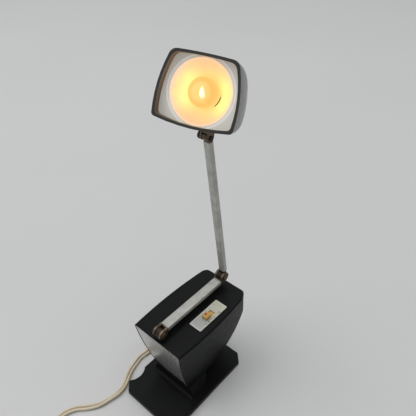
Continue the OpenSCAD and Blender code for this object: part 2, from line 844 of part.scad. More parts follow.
module tip_screw() color([0.4, 0.36, 0.32]) lug_place()
    pivot_screw(tip_pin_r, tip_head_r, tip_head_h, tip_out, tip_nut_r, tip_nut_h);

module stud_nut() color([0.6, 0.6, 0.6]) lug_place() difference() {
    translate([0, 0, lug_h + head_wall * (cos(under_taper) + sin(under_taper)) + seat])
        cylinder(r = 2 * stud_r, h = stud_nut_h, $fn = 6);
    cylinder_from(stud_r + grip, 0, big);
}

// Head, drawn with its opening in the XY plane, the opening's normal along Z

module head_place() lug_place() rotate([0, 0, head_turn]) rotate([90 - under_taper, 0, 0])
    translate([0, lug_y, lug_z]) children();

// a point on a side that bulges outwards
function side_point(a, b, bulge, t) = let (d = b - a, u = [d[1], -d[0]] / norm(d))
    a + d * t + u * bulge * 4 * t * (1 - t);

// a point on a corner's curve between two sides
function bend(a, c, b, t) = (1 - t) * (1 - t) * a + 2 * t * (1 - t) * c + t * t * b;

// size at a depth as a share of the opening's
function head_share(depth) = let (t = depth / head_d)
    1 - head_taper * t - head_round * (1 - sqrt(1 - t * t));

// corners of the outline at a share of the opening's size, drawn in by an inset
head_lean = atan((head_low - head_high) / head_h);
function head_corners(k, inset) = let (y = head_h / 2 * k - inset,
    w_lo = head_low * k - inset / cos(head_lean) - inset * tan(head_lean),
    w_hi = head_high * k - inset / cos(head_lean) + inset * tan(head_lean))
    [[-w_lo, -y], [w_lo, -y], [w_hi, y], [-w_hi, y]];
side_bulges = [side_bulge, side_bulge, top_bulge, side_bulge];
corner_reach = [low_corner, low_corner, high_corner, high_corner];

// steps along a side, round a corner, and in degrees from ring to ring
side_steps = 6;
corner_steps = 4;
ring_step = 7.5;

// one bulged side, then the rounded corner at its end, with the corners' reach grown by g
function head_side(c, i, k, g) = let (j = (i + 1) % 4, a = c[i], b = c[j], e = c[(i + 2) % 4],
    l = norm(b - a), reach = corner_reach[j] + g,
    t1 = (corner_reach[i] + g) / l, t2 = 1 - reach / l,
    from = side_point(a, b, side_bulges[i] * k, t2),
    to = side_point(b, e, side_bulges[j] * k, reach / norm(e - b)))
    concat(
        [for (q = [0:side_steps]) side_point(a, b, side_bulges[i] * k, t1 + (t2 - t1) * q / side_steps)],
        [for (q = [1:corner_steps - 1]) bend(from, b, to, q / corner_steps)]);
function head_outline(depth, inset) = let (k = head_share(depth), c = head_corners(k, inset))
    [for (i = [0:3]) each head_side(c, i, k, corner_grow * depth / head_d)];

// a solid through a row of outlines
module loft(r) {
    n = len(r);
    k = len(r[0]);
    polyhedron(points = [for (i = r) each i], faces = concat(
        [for (i = [0:n - 2], j = [0:k - 1]) [i * k + j, i * k + (j + 1) % k, (i + 1) * k + (j + 1) % k]],
        [for (i = [0:n - 2], j = [0:k - 1]) [i * k + j, (i + 1) * k + (j + 1) % k, (i + 1) * k + j]],
        [for (j = [1:k - 2]) [0, j + 1, j]],
        [for (j = [1:k - 2]) [(n - 1) * k, (n - 1) * k + j, (n - 1) * k + j + 1]]));
}

// outline at an angle round the rounding, from 0 at the opening to 90 at the back
function head_ring(a, inset) = level_ring(head_d * sin(a), inset, inset - head_d * sin(a));
function level_ring(depth, inset, z) = [for (p = head_outline(depth, inset)) [p[0], p[1], z]];
module head_form(inset) loft([for (a = [0:ring_step:90]) head_ring(a, inset)]);

// the hollow inside, narrower at the rim
module head_hollow() loft(concat(
    [level_ring(0, rim_w, past), level_ring(rim_d, rim_w, -rim_d),
        level_ring(rim_d + 2 * head_wall, head_wall, -rim_d - head_wall)],
    [for (a = [ring_step:ring_step:90]) head_ring(a, head_wall)]));

module head_shell() color([0.05, 0.05, 0.05]) head_place() difference() {
    head_form(0);
    head_hollow();
    translate([0, stud_y, -stud_back]) rotate([-90 + under_taper, 0, 0])
        cylinder(r = stud_r + pin_gap, h = 4 * lug_seat_r, center = true);
}

// flat face sheet with a bowl cut from a thin ball
module reflector() color([0.8, 0.79, 0.75]) head_place() translate([0, 0, -face_in]) {
    difference() {
        translate([0, 0, -sheet_t]) linear_extrude(sheet_t)
            polygon(head_outline(face_in + head_wall, head_wall + seat));
        translate([0, -lamp_drop, 0]) cylinder(r = bowl_r, h = big, center = true);
    }
    translate([0, -lamp_drop, 0]) rotate_extrude() difference() {
        translate([0, bowl_c]) circle(bowl_ball + sheet_t);
        translate([0, bowl_c]) circle(bowl_ball);
        translate([-big, 0]) square([2 * big, big]);
        translate([-big, -big]) square([big + bowl_hole, 2 * big]);
    }
}

// Lamp, each piece drawn from its own depth on the lamp's axis

module lamp_place(depth) head_place() translate([0, -lamp_drop, -depth]) children();

// a ball with a short neck down to its cap
module bulb_glass() color([1, 0.95, 0.8, 0.4]) lamp_place(bulb_in) rotate_extrude() difference() {
    neck_r = cap_r - 2 * bulb_wall;
    neck_l = cap_in - bulb_in;
    union() {
        circle(bulb_r);
        translate([0, -neck_l]) square([neck_r, neck_l]);
    }
    circle(bulb_r - bulb_wall);
    translate([0, -neck_l - past]) square([neck_r - bulb_wall, neck_l + past]);
    translate([-big, -big]) square([big, 2 * big]);
}

module bulb_cap() color([0.75, 0.6, 0.3]) lamp_place(cap_in + cap_l) {
    cylinder(r = cap_r, h = cap_l);
    cylinder_from(contact_r, -contact_h, cap_l / 2);
}

// a straight wire on two leads
module filament() color([1, 0.9, 0.6]) lamp_place(bulb_in) {
    translate([0, 0, filament_ahead]) rotate([90, 0, 0])
        cylinder(r = filament_r, h = filament_l, center = true);
    for (s = [-1, 1]) translate([0, s * lead_off, 0]) cylinder_from(lead_r, bulb_in - cap_in, filament_ahead);
}

module bulb_socket() color([0.7, 0.68, 0.62]) lamp_place(socket_end) difference() {
    cylinder(r = socket_r, h = socket_end - socket_in);
    translate([0, 0, socket_floor]) cylinder(r = cap_r + fit, h = big);
}

module socket_bracket() color([0.6, 0.6, 0.6]) lamp_place(head_d - head_wall)
    cylinder(r = socket_r - post_in, h = head_d - head_wall - socket_end);

// Cord

// height of the cord's middle where it lies on the table
cord_z = 2.1;
// points that the cord follows from the strain relief to the coil
cord_points = [[0, relief_end + 2, exit_z], [-7, relief_end + 8, exit_z - 2.3],
    [-19, relief_end + 10, exit_z - 3.6], [-30.5, 32, base_h + 2.7], [-39.6, 23.6, base_h + 1.5],
    [-45.2, 11, 2.4], [-48.4, -7.2, cord_z], [-49.4, -18, cord_z], [-45.6, -33.4, cord_z],
    [-40.6, -43.2, cord_z], [-36.4, -51.6, cord_z], [-35.2, -60.2, cord_z], [-37, -69.5, cord_z],
    [-39.6, -79.6, cord_z], [-46, -89, cord_z], [-54, -97.6, cord_z], [-58.2, -107.6, cord_z],
    [-58.2, -119, cord_z], [-55.8, -131, cord_z]];
// middle of the coil
coil_c = [-11.2, -146];
coil_step = cord_w + turn_gap;
coil_out = coil_r + coil_step * coil_turns / 4;
layer_rise = cord_t + turn_gap;
// rings in a turn of the coil
turn_rings = 24;
// length of the coil's tail
tail_l = 4.5 * cord_w;
// plug's underside above the table
plug_lift = 0.2;

// the coil spirals in and out again, climbing a layer in the half turn where it reverses
function coil_at(u) = let (w = 180 + 360 * u,
    r = coil_out - coil_step * min(u, coil_turns - u),
    climb = max(0, min(1, 2 * (u - coil_turns / 2) + 0.5)))
    [coil_c[0] + r * cos(w), coil_c[1] + r * sin(w), cord_z + layer_rise * climb];
coil_in = coil_at(0) + [0, cord_w, 0];
coil_end = coil_at(coil_turns);
tail_in = coil_end + [0, cord_w, 0];
plug_at = [coil_end[0] + tail_out, coil_end[1] + tail_l, plug_t / 2 + plug_lift];

// the tail eases sideways and upwards on its way to the plug
function tail_at(t) = let (d = plug_at - tail_in, c = t * t * (3 - 2 * t))
    tail_in + [d[0] * c, d[1] * t, d[2] * c];

// a smooth curve through points
function spline(p, i, t) = let (n = len(p) - 1,
    a = p[max(i - 1, 0)], b = p[i], c = p[min(i + 1, n)], d = p[min(i + 2, n)])
    0.5 * (2 * b + (c - a) * t + (2 * a - 5 * b + 4 * c - d) * t * t + (3 * b - a - 3 * c + d) * t * t * t);
cord_way_points = concat(cord_points, [coil_in]);
cord_path = concat([[0, wire_y, exit_z], [0, relief_y, exit_z]],
    [for (i = [0:len(cord_way_points) - 2], t = [0:0.25:0.99]) spline(cord_way_points, i, t)], [coil_in]);
coil_path = concat([coil_in], [for (i = [0:turn_rings * coil_turns]) coil_at(i / turn_rings)],
    [for (t = [0:0.2:0.9]) tail_at(t)], [plug_at, plug_at + [0, cord_w, 0]]);

// a flat two-core section, in shares of its width and thickness
cord_face = [[-0.5, 0], [-0.28, -0.5], [0, -0.34], [0.28, -0.5],
    [0.5, 0], [0.28, 0.5], [0, 0.34], [-0.28, 0.5]];

// the section swept along a path, its width lying level
function way(p, i, first, last) = let (n = len(p) - 1,
    d = i == 0 ? first : i == n ? last : p[i + 1] - p[i - 1]) d / norm(d);
function rings(p, first, last) = [for (i = [0:len(p) - 1])
    let (w = way(p, i, first, last), s = [w[1], -w[0], 0] / norm([w[1], -w[0]]), u = cross(s, w))
    [for (f = cord_face) p[i] + s * f[0] * cord_w + u * f[1] * cord_t]];
cord_rings = rings(cord_path, [0, 1, 0], [0, -1, 0]);
coil_rings = rings(coil_path, [0, -1, 0], [0, 1, 0]);

// length of a path up to each point, and of the whole
function path_len(p) = [for (i = 0, l = 0; i < len(p);
    l = l + (i + 1 < len(p) ? norm(p[i + 1] - p[i]) : 0), i = i + 1) l];
function whole_len(p) = path_len(p)[len(p) - 1];

// least gap between turns, measured on the sections' points
function least_gap(p, r) = let (l = path_len(p), n = len(p) - 1) min([for (i = [0:n], j = [i + 1:1:n])
    if (l[j] - l[i] > 5 * cord_w && norm(p[i] - p[j]) < 2.2 * cord_w)
        min([for (a = r[i], b = r[j]) norm(a - b)])]);
echo(cord_length_mm = whole_len(cord_path) + whole_len(coil_path), coil_length_mm = whole_len(coil_path),
    coil_least_gap_mm = least_gap(coil_path, coil_rings));

module power_cord() color([0.76, 0.7, 0.6]) loft(cord_rings);

module cord_coil() color([0.76, 0.7, 0.6]) loft(coil_rings);

module strain_relief() color([0.7, 0.64, 0.54])
    translate([0, wire_y + wire_way_r, exit_z]) rotate([-90, 0, 0]) difference() {
        collar_end = relief_y - wire_y - wire_way_r + relief_collar;
        union() {
            cylinder(r = relief_r, h = collar_end);
            translate([0, 0, collar_end])
                cylinder(r1 = relief_r, r2 = cord_w / 2 + seat + relief_lip, h = relief_l - relief_collar);
        }
        translate([0, 0, -past]) cylinder(r = cord_w / 2 + seat, h = big);
    }

// place of the strap round the coil in degrees, its width, its sheet and its gap to the turns
tie_at = 285;
tie_w = 5;
tie_t = 0.5;
tie_gap = 0.5;
// strap's underside above the table
tie_lift = 0.05;

// strap round all the turns
module cord_tie() color([0.2, 0.2, 0.2]) translate([coil_c[0], coil_c[1], 0]) rotate([0, 0, tie_at]) {
    r1 = coil_out - coil_step * coil_turns / 2 - cord_w / 2 - tie_gap;
    r2 = coil_out + cord_w / 2 + tie_gap;
    z2 = cord_z + layer_rise + cord_t / 2 + tie_gap;
    difference() {
        translate([r1 - tie_t, -tie_w / 2, tie_lift])
            cube([r2 - r1 + 2 * tie_t, tie_w, z2 + tie_t - tie_lift]);
        translate([r1, -tie_w, tie_lift + tie_t]) cube([r2 - r1, 2 * tie_w, z2 - tie_lift - tie_t]);
    }
}

// start of the plug's nose, end of its taper as a share of its length, and depth of the cord's bore
plug_nose = 2;
plug_taper = 0.45;
plug_bore = 8.5;
// hole in a blade as a share of the length outside the plug
blade_hole_at = 0.75;

module plug_place() translate(plug_at) children();

module plug_body() color([0.74, 0.68, 0.58]) plug_place() difference() {
    translate([0, 0, -plug_t / 2]) linear_extrude(plug_t)
        polygon([[-plug_w / 4, plug_nose], [plug_w / 4, plug_nose],
            [plug_w / 2, plug_l * plug_taper], [plug_w / 2, plug_l],
            [-plug_w / 2, plug_l], [-plug_w / 2, plug_l * plug_taper]]);
    rotate([-90, 0, 0]) cylinder(r = cord_w / 2 + seat, h = plug_bore);
    for (s = [-1, 1])
        translate([s * blade_gap / 2 - blade_t / 2 - fit, plug_l - blade_in - fit, -blade_w / 2 - fit])
            cube([blade_t + 2 * fit, blade_in + plug_l, blade_w + 2 * fit]);
}

module plug_blades() color([0.78, 0.68, 0.42]) plug_place() for (s = [-1, 1]) difference() {
    translate([s * blade_gap / 2 - blade_t / 2, plug_l - blade_in, -blade_w / 2])
        cube([blade_t, blade_in + blade_l, blade_w]);
    translate([s * blade_gap / 2, plug_l + blade_hole_at * blade_l, 0])
        x_cylinder(blade_hole_r, -2 * blade_t, 2 * blade_t);
}

base_plate();
ballast();
foot_pad();
neck();
neck_screws();
body_shell();
front_plate();
transformer_core();
transformer_coil();
transformer_bracket();
bracket_screws();
switch_body();
switch_plate();
switch_knob();
pivot_post();
front_clevis();
front_screw();
lower_tube();
elbow_clevis();
elbow_screw();
elbow_tongue();
upper_tube();
tip_tongue();
head_lug();
tip_screw();
stud_nut();
head_shell();
reflector();
bulb_glass();
bulb_cap();
filament();
bulb_socket();
socket_bracket();
strain_relief();
power_cord();
cord_coil();
cord_tie();
plug_body();
plug_blades();
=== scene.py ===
# Looks of the folding two-bar desk lamp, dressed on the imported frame.
# Metres; X to the right, Y to the back, Z up, origin under the middle of the base.
import json
from math import cos, pi, radians, sin

import bmesh
import bpy
from mathutils import Matrix, Vector


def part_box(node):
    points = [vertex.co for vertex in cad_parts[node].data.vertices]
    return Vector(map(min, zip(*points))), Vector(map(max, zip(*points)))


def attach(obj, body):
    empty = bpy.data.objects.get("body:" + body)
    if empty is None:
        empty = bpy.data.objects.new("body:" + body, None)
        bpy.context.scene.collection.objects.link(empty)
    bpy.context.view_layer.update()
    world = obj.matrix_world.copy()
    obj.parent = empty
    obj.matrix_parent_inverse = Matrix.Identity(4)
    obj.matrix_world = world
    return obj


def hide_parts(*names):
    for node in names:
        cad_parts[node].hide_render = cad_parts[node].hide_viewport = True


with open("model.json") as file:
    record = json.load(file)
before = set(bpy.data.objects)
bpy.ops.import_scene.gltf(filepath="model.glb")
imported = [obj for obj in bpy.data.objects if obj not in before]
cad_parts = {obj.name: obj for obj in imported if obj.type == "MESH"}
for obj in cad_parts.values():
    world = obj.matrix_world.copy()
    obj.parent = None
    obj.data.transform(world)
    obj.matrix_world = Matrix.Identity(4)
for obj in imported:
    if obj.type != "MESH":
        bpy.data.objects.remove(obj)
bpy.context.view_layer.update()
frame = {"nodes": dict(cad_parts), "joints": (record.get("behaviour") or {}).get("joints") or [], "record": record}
nodes = frame["nodes"]
MM = 0.001
UP = Vector((0, 0, 1))


# Places in the head, taken from the frame

SOCKET_BEHIND_MOUTH = 33.6 * MM
FACE_BEHIND_MOUTH = 6.5 * MM
BULB_BEHIND_MOUTH = 13.8 * MM
CORE_BEHIND_MOUTH = 24 * MM
BULB_R = 11.2 * MM
BOWL_R = 22 * MM


def middle(name):
    """Middle of a node's box."""
    low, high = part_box(name)
    return (low + high) / 2


def joint_axis(name):
    joint = next(j for j in frame["joints"] if j["name"] == name)
    return Vector(joint["axis"])


socket_mid = middle("bulb_socket")
head_out = (socket_mid - middle("socket_bracket")).normalized()
swivel = joint_axis("head_swivel")
head_up = (swivel - head_out * swivel.dot(head_out)).normalized()
head_right = head_up.cross(head_out)
mouth = socket_mid + head_out * SOCKET_BEHIND_MOUTH
face = mouth - head_out * FACE_BEHIND_MOUTH
bulb = mouth - head_out * BULB_BEHIND_MOUTH
head_core = mouth - head_out * CORE_BEHIND_MOUTH


# Shape helpers

def part_turn(step, steps):
    """Angle of one step of a whole turn."""
    return 2 * pi * step / steps


def towards(a, b, angle):
    """Direction at an angle from a towards b, which is square to it."""
    return a * cos(angle) + b * sin(angle)


def add_object(name, data):
    ob = bpy.data.objects.new(name, data)
    bpy.context.scene.collection.objects.link(ob)
    return ob


def mesh_object(name, bm, material, smooth=True):
    mesh = bpy.data.meshes.new(name)
    bmesh.ops.recalc_face_normals(bm, faces=bm.faces)
    for f in bm.faces:
        f.smooth = smooth
    bm.to_mesh(mesh)
    bm.free()
    mesh.materials.append(material)
    return add_object(name, mesh)


def lofted(name, rings, material, closed=False, smooth=True):
    """A piece with faces through closed rings of points, capped at both ends unless it closes on itself."""
    bm = bmesh.new()
    rows = [[bm.verts.new(p) for p in ring] for ring in rings]
    count = len(rows[0])
    for i in range(len(rows) - (0 if closed else 1)):
        a, b = rows[i], rows[(i + 1) % len(rows)]
        for j in range(count):
            k = (j + 1) % count
            bm.faces.new((a[j], a[k], b[k], b[j]))
    if not closed:
        bm.faces.new(rows[0][::-1])
        bm.faces.new(rows[-1])
    return mesh_object(name, bm, material, smooth)


def across(path, i, up=UP):
    """Side and upright of a path at one of its points, the side square to up."""
    ahead = (path[min(i + 1, len(path) - 1)] - path[max(i - 1, 0)]).normalized()
    side = ahead.cross(up).normalized()
    return side, side.cross(ahead)


# Camera at the photograph's viewing angle

CAM_TARGET = Vector((40.3, -1.8, 237.9)) * MM
CAM_DISTANCE = 314.4 * MM
CAM_AZIMUTH, CAM_ELEVATION, CAM_ROLL = radians(42.4), radians(37.5), radians(-1.6)
CAM_LENS, CAM_SENSOR = 40.22, 36.0
CAM_NEAR, CAM_FAR = 0.01, 50


def make_camera():
    level = cos(CAM_ELEVATION)
    back = Vector((sin(CAM_AZIMUTH) * level, -cos(CAM_AZIMUTH) * level, sin(CAM_ELEVATION)))
    right = Vector((cos(CAM_AZIMUTH), sin(CAM_AZIMUTH), 0))
    up = back.cross(right)
    right, up = towards(right, up, CAM_ROLL), towards(up, -right, CAM_ROLL)
    data = bpy.data.cameras.new("camera")
    data.lens, data.sensor_width = CAM_LENS, CAM_SENSOR
    data.clip_start, data.clip_end = CAM_NEAR, CAM_FAR
    camera = add_object("camera", data)
    facing = Matrix((right, up, back)).transposed().to_4x4()
    camera.matrix_world = Matrix.Translation(CAM_TARGET + back * CAM_DISTANCE) @ facing
    bpy.context.scene.camera = camera


make_camera()


# Material helpers

materials = {}
BLACK = (0, 0, 0, 1)


def linear(value):
    """Linear light of one channel of a screen colour, which is written from 0 to 255."""
    c = value / 255
    return c / 12.92 if c <= 0.04045 else ((c + 0.055) / 1.055) ** 2.4


def srgb(red, green, blue):
    return (linear(red), linear(green), linear(blue), 1)


def tree_of(mat):
    return mat.node_tree, mat.node_tree.nodes["Principled BSDF"]


def new_material(name, **sockets):
    """A named material with values on its shader's sockets."""
    mat = bpy.data.materials.new(name)
    mat.use_nodes = True
    materials[name] = mat
    tree, shader = tree_of(mat)
    for key, value in sockets.items():
        shader.inputs[key.replace("_", " ")].default_value = value
    return mat, tree, shader


def feed(tree, shader, **sockets):
    """Link outputs to the shader's sockets."""
    for key, output in sockets.items():
        tree.links.new(output, shader.inputs[key.replace("_", " ")])


def put(tree, socket, value):
    """Link an output to a socket, or set a plain value on it."""
    if isinstance(value, bpy.types.NodeSocket):
        tree.links.new(value, socket)
    else:
        socket.default_value = value


def node(tree, kind, inputs=None, **props):
    made = tree.nodes.new("ShaderNode" + kind)
    for key, value in props.items():
        setattr(made, key, value)
    for key, value in (inputs or {}).items():
        put(tree, made.inputs[key], value)
    return made


def vector(tree, operation, a, b):
    return node(tree, "VectorMath", {0: a, 1: b}, operation=operation).outputs[0]


def dot(tree, a, b):
    return node(tree, "VectorMath", {0: a, 1: b}, operation="DOT_PRODUCT").outputs["Value"]


def calc(tree, operation, a, b=0.0, clamp=False):
    return node(tree, "Math", {0: a, 1: b}, operation=operation, use_clamp=clamp).outputs[0]


def span(tree, value, start, end, low=0, high=1):
    """A value between start and end, carried over to low and high and held there."""
    return node(tree, "MapRange", {0: value, 1: start, 2: end, 3: low, 4: high}).outputs[0]


def own_place(tree):
    """The object's own coordinates, in metres."""
    return node(tree, "TexCoord").outputs["Object"]


def place_from(tree, centre):
    return vector(tree, "SUBTRACT", own_place(tree), centre)


def own_mm(tree, stretch=(1, 1, 1)):
    """The object's own coordinates in millimetres, stretched along an axis for streaks."""
    return vector(tree, "MULTIPLY", own_place(tree), [s / MM for s in stretch])


def noise(tree, size, detail=3, rough=0.5, stretch=(1, 1, 1)):
    """Noise whose features are about size millimetres across."""
    inputs = {"Vector": own_mm(tree, stretch), "Scale": 1 / size, "Detail": detail, "Roughness": rough}
    return node(tree, "TexNoise", inputs).outputs["Fac"]


def wander(tree, size, detail, amount):
    """Noise to both sides of zero."""
    return calc(tree, "MULTIPLY", calc(tree, "SUBTRACT", noise(tree, size, detail), 0.5), amount)


def ramp(tree, value, *stops):
    """Colours or greys at places from 0 to 1."""
    made = node(tree, "ValToRGB", {"Fac": value})
    elements = made.color_ramp.elements
    while len(elements) < len(stops):
        elements.new(0.5)
    for element, (place, colour) in zip(elements, stops):
        element.position = place
        grey = isinstance(colour, (int, float))
        element.color = (colour, colour, colour, 1) if grey else colour
    return made.outputs["Color"]


def spread(tree, value, low, high):
    """One colour or grey to another over the middle of a noise."""
    return ramp(tree, value, (0.3, low), (0.7, high))


def mix(tree, factor, a, b):
    made = node(tree, "Mix", data_type="RGBA")
    for name, value in (("Factor", factor), ("A", a), ("B", b)):
        put(tree, [s for s in made.inputs if s.name == name and s.enabled][0], value)
    return [s for s in made.outputs if s.enabled][0]


def edge_mask(tree, radius, gain):
    """1 on sharp edges, 0 on flats."""
    rounded = node(tree, "Bevel", {"Radius": radius}, samples=4).outputs[0]
    flat = node(tree, "NewGeometry").outputs["Normal"]
    bent = calc(tree, "SUBTRACT", 1.0, dot(tree, rounded, flat))
    return calc(tree, "MULTIPLY", bent, gain, clamp=True)


def set_normal(tree, shader, radius, *bumps):
    """Softened edges under one or more bumps, each a height, a strength and a depth in metres."""
    normal = node(tree, "Bevel", {"Radius": radius}, samples=6).outputs[0]
    for height, strength, depth in bumps:
        inputs = {"Height": height, "Strength": strength, "Distance": depth, "Normal": normal}
        normal = node(tree, "Bump", inputs).outputs[0]
    feed(tree, shader, Normal=normal)


# Kinds of material

DUST, WORN_BLACK = srgb(96, 94, 88), srgb(88, 86, 82)
# the second colour is for paler edges of plated metal, partly rubbed plating and partly a painted highlight
RUST, EDGE_WEAR_AND_HIGHLIGHT = srgb(92, 58, 36), srgb(196, 190, 176)
PLATE_DARK, PLATE_LIGHT, PLATE_SCRATCH = srgb(168, 169, 168), srgb(204, 205, 203), srgb(140, 140, 138)
# the second colour is painted shade for the groove between the cord's cores
GRIME, GROOVE_SHADE = srgb(120, 98, 70), srgb(96, 76, 48)
COPPER_DARK, COPPER_LIGHT = srgb(96, 54, 24), srgb(186, 112, 58)
SWITCH_SCRATCH, SWITCH_STAIN = srgb(138, 138, 128), srgb(120, 100, 70)
WORN_PRINT = srgb(120, 112, 98)
METAL_EDGE, PLASTIC_EDGE, WIRE_EDGE = 0.25 * MM, 0.4 * MM, 0.3 * MM
SWITCH_EDGE, SHEET_EDGE, GLASS_EDGE, PRINT_EDGE = 0.15 * MM, 0.2 * MM, 0.1 * MM, 0.05 * MM


def black_moulding(name, dark, light, rough, grain=0.6, coat=0.0, edge=0.5):
    """Moulded black plastic: uneven colour, fine grain, dull dust and paler worn edges."""
    mat, tree, shader = new_material(name, Specular_IOR_Level=0.14, Coat_Weight=coat, Coat_Roughness=0.12)
    colour = spread(tree, noise(tree, size=22, detail=5), dark, light)
    dust = ramp(tree, noise(tree, size=5, detail=6, rough=0.7), (0.56, 0), (0.8, 0.02))
    colour = mix(tree, dust, colour, DUST)
    patches = ramp(tree, noise(tree, size=2.5, detail=4), (0.45, 0.0), (0.75, 0.3))
    worn = calc(tree, "MULTIPLY", edge_mask(tree, edge * MM, gain=1.2), patches)
    colour = mix(tree, worn, colour, WORN_BLACK)
    roughness = spread(tree, noise(tree, size=6, detail=5), rough - 0.03, rough + 0.05)
    feed(tree, shader, Base_Color=colour, Roughness=roughness)
    fine = (noise(tree, size=0.22, detail=2), grain * 0.12, 0.1 * MM)
    waves = (noise(tree, size=14, detail=2), 0.05, 0.6 * MM)
    set_normal(tree, shader, edge * MM, fine, waves)
    return mat


def plated_metal(name, clean, dull, rough, along=(1, 1, 1), rust=0.0, metallic=1.0, lines=0.5):
    """Old plated metal: fine streaks along the bar, cloudy tarnish, freckles of rust, and paler edges, partly
    rubbed plating and partly a painted highlight.
    """
    mat, tree, shader = new_material(name, Metallic=metallic)
    colour = ramp(tree, noise(tree, size=7, detail=5), (0.3, dull), (0.65, clean))
    streak = noise(tree, lines, detail=3, rough=0.6, stretch=along)
    colour = mix(tree, ramp(tree, streak, (0.35, 0.5), (0.65, 0.0)), colour, dull)
    bare, full = (0.7 - 0.35 * rust, 0), (0.8 - 0.33 * rust, min(1, 3 * rust))
    spots = ramp(tree, noise(tree, size=1.6, detail=6, rough=0.7), bare, full)
    colour = mix(tree, spots, colour, RUST)
    # paler edges: partly rubbed plating, partly a painted highlight along every edge
    edge_wear_and_highlight = calc(tree, "MULTIPLY", edge_mask(tree, METAL_EDGE, gain=1.4), 0.35)
    colour = mix(tree, edge_wear_and_highlight, colour, EDGE_WEAR_AND_HIGHLIGHT)
    feed(tree, shader, Base_Color=colour, Roughness=spread(tree, streak, rough, rough + 0.16))
    set_normal(tree, shader, METAL_EDGE, (streak, 0.1, 0.05 * MM), (spots, 0.2, 0.1 * MM))
    return mat


def polished_plate(name):
    """Polished aluminium with soft smears and upright streaks."""
    _, tree, shader = new_material(name, Metallic=0.78)
    smear = noise(tree, size=16, detail=1, stretch=(1, 1, 0.5))
    scratch = noise(tree, size=2.5, detail=1, stretch=(1, 1, 0.05))
    colour = spread(tree, smear, PLATE_DARK, PLATE_LIGHT)
    colour = mix(tree, ramp(tree, scratch, (0.4, 0.2), (0.65, 0)), colour, PLATE_SCRATCH)
    feed(tree, shader, Base_Color=colour, Roughness=spread(tree, smear, 0.32, 0.25))


def aged_plastic(name, light, dark, rough):
    """Yellowed plastic with grime in patches, and painted shade in the groove between two cores."""
    _, tree, shader = new_material(name, Subsurface_Weight=0.06, Subsurface_Scale=2 * MM)
    colour = ramp(tree, noise(tree, size=12, detail=5), (0.3, dark), (0.65, light))
    grimy = ramp(tree, noise(tree, size=2.2, detail=6, rough=0.7), (0.6, 0), (0.8, 0.4))
    colour = mix(tree, grimy, colour, GRIME)
    groove = node(tree, "Attribute", attribute_name="groove").outputs["Fac"]
    # painted shade darkens the groove between the cord's two cores
    colour = mix(tree, calc(tree, "MULTIPLY", groove, 0.8), colour, GROOVE_SHADE)
    roughness = spread(tree, noise(tree, size=3, detail=4), rough, rough + 0.15)
    feed(tree, shader, Base_Color=colour, Roughness=roughness)
    set_normal(tree, shader, PLASTIC_EDGE, (noise(tree, size=0.3, detail=2), 0.06, 0.1 * MM))


def varnished_wire(name):
    """Copper winding under varnish, as fine level rows."""
    _, tree, shader = new_material(name, Metallic=0.6, Coat_Weight=0.4)
    inputs = {"Vector": own_mm(tree), "Scale": 0.5, "Distortion": 0.3}
    rows = node(tree, "TexWave", inputs, bands_direction="Z").outputs["Fac"]
    feed(tree, shader, Base_Color=ramp(tree, rows, (0.2, COPPER_DARK), (0.8, COPPER_LIGHT)))
    set_normal(tree, shader, WIRE_EDGE, (rows, 0.4, 0.2 * MM))


def switch_face(name):
    """Satin switch plate, darker and greyer towards its front end."""
    _, tree, shader = new_material(name, Metallic=0.35)
    low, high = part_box("switch_plate")
    y = node(tree, "SeparateXYZ", {0: own_place(tree)}).outputs[1]
    colour = ramp(tree, span(tree, y, low.y, high.y),
                  (0.05, srgb(176, 178, 176)),
                  (0.3, srgb(168, 169, 164)),
                  (0.6, srgb(196, 196, 180)),
                  (1, srgb(206, 204, 186)))
    brushed = noise(tree, size=0.4, detail=3, rough=0.6, stretch=(0.06, 1, 1))
    colour = mix(tree, ramp(tree, brushed, (0.4, 0.3), (0.65, 0)), colour, SWITCH_SCRATCH)
    stains = ramp(tree, noise(tree, size=1.4, detail=5, rough=0.7), (0.64, 0), (0.78, 0.5))
    colour = mix(tree, stains, colour, SWITCH_STAIN)
    feed(tree, shader, Base_Color=colour, Roughness=spread(tree, brushed, 0.34, 0.5))
    set_normal(tree, shader, SWITCH_EDGE, (brushed, 0.1, 0.04 * MM))


def glowing(name, colour, strength):
    """A hot surface, a little uneven."""
    mat, tree, shader = new_material(name, Emission_Strength=strength)
    paler = [0.5 + 0.5 * c for c in colour]
    feed(tree, shader, Emission_Color=spread(tree, noise(tree, size=1, detail=2), colour, paler))
    return mat


def printed(name, colour):
    """Worn paint or print."""
    mat, tree, shader = new_material(name, Roughness=0.5)
    worn = ramp(tree, noise(tree, size=0.7, detail=4), (0.45, 0), (0.75, 0.35))
    feed(tree, shader, Base_Color=mix(tree, worn, colour, WORN_PRINT))
    set_normal(tree, shader, PRINT_EDGE, (noise(tree, size=0.2, detail=2), 0.05, 0.05 * MM))
    return mat


# Materials lit by the bulb

INNER_FACING = -0.2
WARM_HALF = 20 * MM
GLOW_DEPTH = 10 * MM
# painted bulb light on the head's inner walls, dimmer low down and brighter high up
BULB_LIGHT_LOW, BULB_LIGHT_HIGH = srgb(76, 54, 40), srgb(116, 80, 56)
BACK_GLOW = [1.6 * c for c in srgb(255, 226, 132)]
SOCKET_LIGHT, SOCKET_SHADE = srgb(253, 214, 120), srgb(96, 44, 16)
SHEET_LIGHT, SHEET_DARK = srgb(236, 235, 228), srgb(208, 206, 198)
# painted highlight on the bead round the bowl; the bowl itself is dark under its painted light
BEAD_HIGHLIGHT, BOWL_BASE = srgb(255, 255, 252), (0.02, 0.02, 0.02, 1)
# painted bulb light on the sheet and on the bead
SHEET_GLOW, BEAD_GLOW = srgb(104, 102, 95), srgb(150, 147, 138)
GLASS_BASE = (0.05, 0.03, 0.01, 1)


def axis_distance(tree, centre):
    """Distance from the bulb's axis, in metres."""
    place = place_from(tree, centre)
    height = dot(tree, place, head_out)
    on_axis = node(tree, "VectorMath", {0: head_out, 3: height}, operation="SCALE").outputs[0]
    off_axis = vector(tree, "SUBTRACT", place, on_axis)
    return node(tree, "VectorMath", {0: off_axis}, operation="LENGTH").outputs["Value"]


